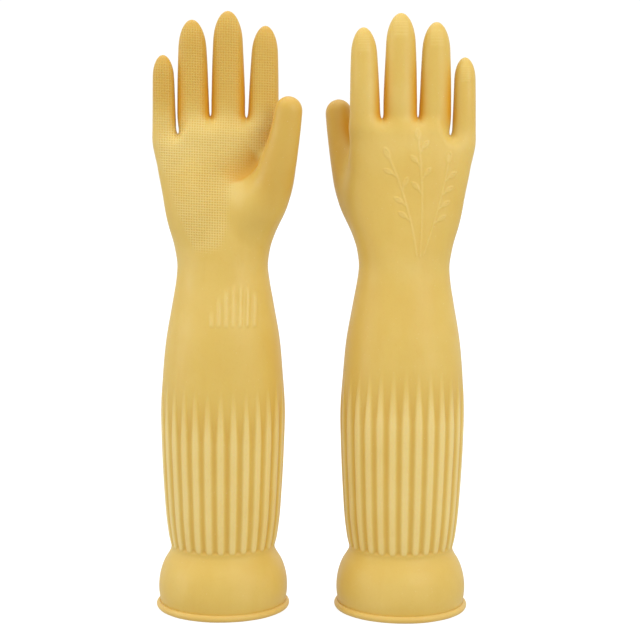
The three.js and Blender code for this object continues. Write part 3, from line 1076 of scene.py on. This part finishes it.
def glove_shapes():
    """For each piece of a glove: points, normals, quads, places at rest and what its material reads."""
    points, normals, quads, zone, rest, data = moulded_glove()
    shapes = {}
    for number, part in enumerate(PIECES):
        used, own = np.unique(quads[zone == number], return_inverse=True)
        own_data = {key: values[used] for key, values in data.items()}
        shapes[part] = points[used], normals[used], own.reshape(-1, 4), rest[used], own_data
    bead, quads = rolled_bead()
    plain = {key: np.full(len(bead), 0.5 if key == "raised" else 0.0) for key in data}
    shapes["rolled_bead"] = bead, vertex_normals(bead, quads), quads, bead, plain
    return shapes


def build_gloves(film, rim):
    shapes = glove_shapes()
    for glove in GLOVES:
        for part, (points, normals, quads, rest, data) in shapes.items():
            slot, material = ("rolled_rim", rim) if part == "rolled_bead" else ("latex_film", film)
            places, facing = placed(points, glove), placed(normals, glove, move=False)
            piece = add_piece(f"skin_{glove}_{part}", places, facing, quads, rest, data, material)
            attach(piece, glove, part)


# ---------------- materials


def srgb(red, green, blue):
    """A colour given as 0 to 255 screen values, as the linear one that shaders use."""
    screen = [value / 255 for value in (red, green, blue)]
    return tuple(((c + 0.055) / 1.055) ** 2.4 if c > 0.04 else c / 12.92 for c in screen) + (1,)


class Shader:
    """Makes and joins nodes in one material."""

    def __init__(self, name):
        self.material = bpy.data.materials.new(name)
        self.material.use_nodes = True
        self.tree = self.material.node_tree
        self.surface = self.tree.nodes["Principled BSDF"]

    def node(self, kind, settings=None, **inputs):
        made = self.tree.nodes.new(kind)
        for key, value in (settings or {}).items():
            setattr(made, key, value)
        for key, value in inputs.items():
            self.set(made.inputs[key.replace("_", " ")], value)
        return made

    def set(self, socket, value):
        if isinstance(value, bpy.types.NodeSocket):
            self.tree.links.new(value, socket)
        else:
            socket.default_value = value

    def wear(self, inputs):
        """Sets or joins inputs of the surface itself."""
        for key, value in inputs.items():
            self.set(self.surface.inputs[key], value)

    def read(self, name):
        made = self.node("ShaderNodeAttribute", {"attribute_name": name})
        return made.outputs["Vector"] if name == "rest" else made.outputs["Fac"]

    def noise(self, where, scale, detail=2.0, stretch=(1, 1, 1)):
        mapping = self.node("ShaderNodeMapping", Vector=where, Scale=stretch)
        return self.node(
            "ShaderNodeTexNoise", Vector=mapping.outputs[0], Scale=scale, Detail=detail, Roughness=0.55
        ).outputs["Fac"]

    def math(self, operation, a, b=0.0):
        made = self.node("ShaderNodeMath", {"operation": operation})
        self.set(made.inputs[0], a)
        self.set(made.inputs[1], b)
        return made.outputs[0]

    def fit(self, value, low, high, to_low=0.0, to_high=1.0):
        ends = {"From_Min": low, "From_Max": high, "To_Min": to_low, "To_Max": to_high}
        return self.node("ShaderNodeMapRange", Value=value, **ends).outputs[0]

    def mix(self, share, a, b):
        return self.node("ShaderNodeMix", {"data_type": "RGBA"}, Factor=share, A=a, B=b).outputs["Result"]


def grip_nodes(shader, rest):
    """The grip grid: 1 on its lines, 0 in its pits, finer than the mesh can show it."""
    axes = shader.node("ShaderNodeSeparateXYZ", Vector=rest).outputs
    sloped = shader.math("ADD", axes["Z"], shader.math("MULTIPLY", axes["X"], GRIP_TILT))
    pits = []
    for place in (axes["X"], sloped):
        turn = shader.math("MULTIPLY", place, 2 * math.pi * MM / GRIP_PITCH)
        pits.append(shader.fit(shader.math("COSINE", turn), -0.7, 0.9, 1, 0))
    return shader.math("SUBTRACT", 1.0, shader.math("MULTIPLY", *pits))


# The deepest, warmest colour paints shade in the nooks; pale and deep also paint highlight and shade on the
# relief.
FILM_COLOURS = {
    "pale": (234, 208, 132),
    "middle": (220, 186, 92),
    "deep": (204, 150, 38),
    "nook_shade": (218, 154, 14),
}
RIM_COLOURS = {**FILM_COLOURS, "pale": (230, 200, 122), "middle": (222, 186, 98)}
SPECK_COLOUR = (240, 224, 176)
# Painted shade: how much of the warm colour goes into the nooks between the fingers, beside the thumb and in
# the palm's fold.
NOOK_SHADE_SHARE = 0.85  # of the warm colour in a nook


def latex(name, colours):
    """Natural latex: cloudy, faintly streaked where it drained off the mould, with a fine grain, and painted
    shade and highlights in its colour.
    """
    pale, middle, deep, nook_shade = (srgb(*colours[key]) for key in ("pale", "middle", "deep", "nook_shade"))
    shader = Shader(name)
    rest = shader.read("rest")
    grip = shader.read("grip")
    cloud = shader.fit(shader.noise(rest, 22, 3), 0.3, 0.7, -0.1, 0.1)
    level = shader.math("ADD", shader.read("raised"), cloud)
    # Painted shade and highlight of the grip grid: paler on its lines, deeper in its pits.
    lines = shader.math("SUBTRACT", grip_nodes(shader, rest), 0.55)
    gripping = shader.math("MULTIPLY", lines, grip)
    level = shader.math("ADD", level, shader.math("MULTIPLY", gripping, 0.6))
    # Paler where raised and deeper where sunk: painted highlight and shade of the relief, with the film's own
    # cloudy tone.
    colour = shader.mix(shader.fit(level, 0.5, 1), middle, pale)
    colour = shader.mix(shader.fit(level, -0.4, 0.5, 1, 0), colour, deep)
    streak = shader.fit(shader.noise(rest, 95, 2, (1, 1, 0.09)), 0.5, 0.75, 0, 0.08)
    colour = shader.mix(streak, colour, deep)
    # Painted shade: warm colour in the nooks between the fingers, beside the thumb and in the palm's fold.
    nook_shading = shader.math("MULTIPLY", shader.read("nook"), NOOK_SHADE_SHARE)
    colour = shader.mix(nook_shading, colour, nook_shade)
    mottle = shader.fit(shader.noise(rest, 520, 2), 0.55, 0.75, 0, 0.08)
    colour = shader.mix(mottle, colour, deep)
    speck = shader.node("ShaderNodeTexVoronoi", Vector=rest, Scale=210.0).outputs["Distance"]
    colour = shader.mix(shader.fit(speck, 0.05, 0.09, 0.25, 0.0), colour, srgb(*SPECK_COLOUR))
    rough = shader.fit(shader.noise(rest, 60, 3), 0.3, 0.7, 0.38, 0.50)
    rough = shader.math("ADD", rough, shader.math("MULTIPLY", grip, 0.08))
    grain = shader.node("ShaderNodeBump", Strength=0.3, Distance=0.00012, Height=shader.noise(rest, 1400, 3))
    cells = shader.node("ShaderNodeBump", Strength=0.2, Distance=0.0003, Height=shader.noise(rest, 240, 2))
    grid = shader.node("ShaderNodeBump", Strength=0.6, Distance=0.0003, Height=gripping)
    shader.set(cells.inputs["Normal"], grain.outputs[0])
    shader.set(grid.inputs["Normal"], cells.outputs[0])
    shader.wear({
        "Base Color": colour,
        "Roughness": rough,
        "Normal": grid.outputs[0],
        "Subsurface Weight": 0.22,
        "Subsurface Radius": (0.9, 0.6, 0.2),
        "Subsurface Scale": 0.0016,
        "Specular IOR Level": 0.42,
        "Sheen Weight": 0.12,
        "Sheen Roughness": 0.35,
    })
    return shader.material


FLOOR_GLOW = (0.35, 0.88)  # of the floor as a light, and as it is seen
WORLD_GLOW = (0.82, 1.05)  # the same for the white around it


def pale_floor():
    shader = Shader("studio_floor")
    where = shader.node("ShaderNodeTexCoord").outputs["Object"]
    cloud = shader.fit(shader.noise(where, 3, 2), 0.3, 0.7)
    seen = shader.node("ShaderNodeLightPath").outputs["Is Camera Ray"]
    shader.wear({
        "Base Color": shader.mix(cloud, srgb(136, 136, 135), srgb(140, 140, 140)),
        "Roughness": 0.8,
        "Emission Color": (1, 1, 1, 1),
        "Emission Strength": shader.fit(seen, 0, 1, *FLOOR_GLOW),
    })
    return shader.material


# ---------------- the studio


# Name, place in metres, share of the gloves' height that it points at, size in metres and power in watts.
LIGHTS = [
    ("key", (1.2, -1.3, 1.1), 0.5, (0.9, 1.2), 10.5),
    ("fill", (-1.7, -0.4, 0.5), 0.4, (0.8, 1.2), 6),
    ("top", (-0.2, 0.1, 1.9), 0.5, (2.0, 2.0), 14),
]


def area_light(name, place, target, size, power):
    light = bpy.data.lights.new(name, "AREA")
    light.shape = "RECTANGLE"
    light.size, light.size_y = size
    light.energy = power
    lamp = add_object(name, light)
    lamp.location = place
    lamp.rotation_euler = (Vector(target) - Vector(place)).to_track_quat("-Z", "Y").to_euler()


def white_surroundings():
    """A white background, which lights the gloves less than it shows."""
    world = bpy.data.worlds.new("studio")
    world.use_nodes = True
    nodes, links = world.node_tree.nodes, world.node_tree.links
    seen = nodes.new("ShaderNodeLightPath").outputs["Is Camera Ray"]
    strength = nodes.new("ShaderNodeMapRange")
    strength.inputs["To Min"].default_value, strength.inputs["To Max"].default_value = WORLD_GLOW
    links.new(seen, strength.inputs["Value"])
    nodes["Background"].inputs["Color"].default_value = (1, 1, 1, 1)
    links.new(strength.outputs[0], nodes["Background"].inputs["Strength"])
    bpy.context.scene.world = world


def studio():
    mesh = bpy.data.meshes.new("floor")
    reach = 14.0
    corners = [(-reach, -reach, 0), (reach, -reach, 0), (reach, reach, 0), (-reach, reach, 0)]
    mesh.from_pydata(corners, [], [(0, 1, 2, 3)])
    mesh.materials.append(pale_floor())
    add_object("floor", mesh)
    white_surroundings()
    for name, place, aim, size, power in LIGHTS:
        area_light(name, place, (0, 0, CAD_BOX[1][2] * aim), size, power)


def camera():
    """The camera stands above the gloves' middle and looks a little down, as in the photograph."""
    distance, height, aside = 1.2, 0.34, 0.0045
    tilt, roll = math.radians(5.69), math.radians(-0.33)
    data = bpy.data.cameras.new("camera")
    data.lens = 89.8
    data.sensor_width = 36
    made = add_object("camera", data)
    made.location = (aside, -distance, height)
    made.rotation_euler = (math.pi / 2 - tilt, roll, 0)
    bpy.context.scene.camera = made


bpy.context.scene.view_settings.view_transform = "Standard"
build_gloves(latex("latex_film", FILM_COLOURS), latex("rolled_rim", RIM_COLOURS))
studio()
camera()
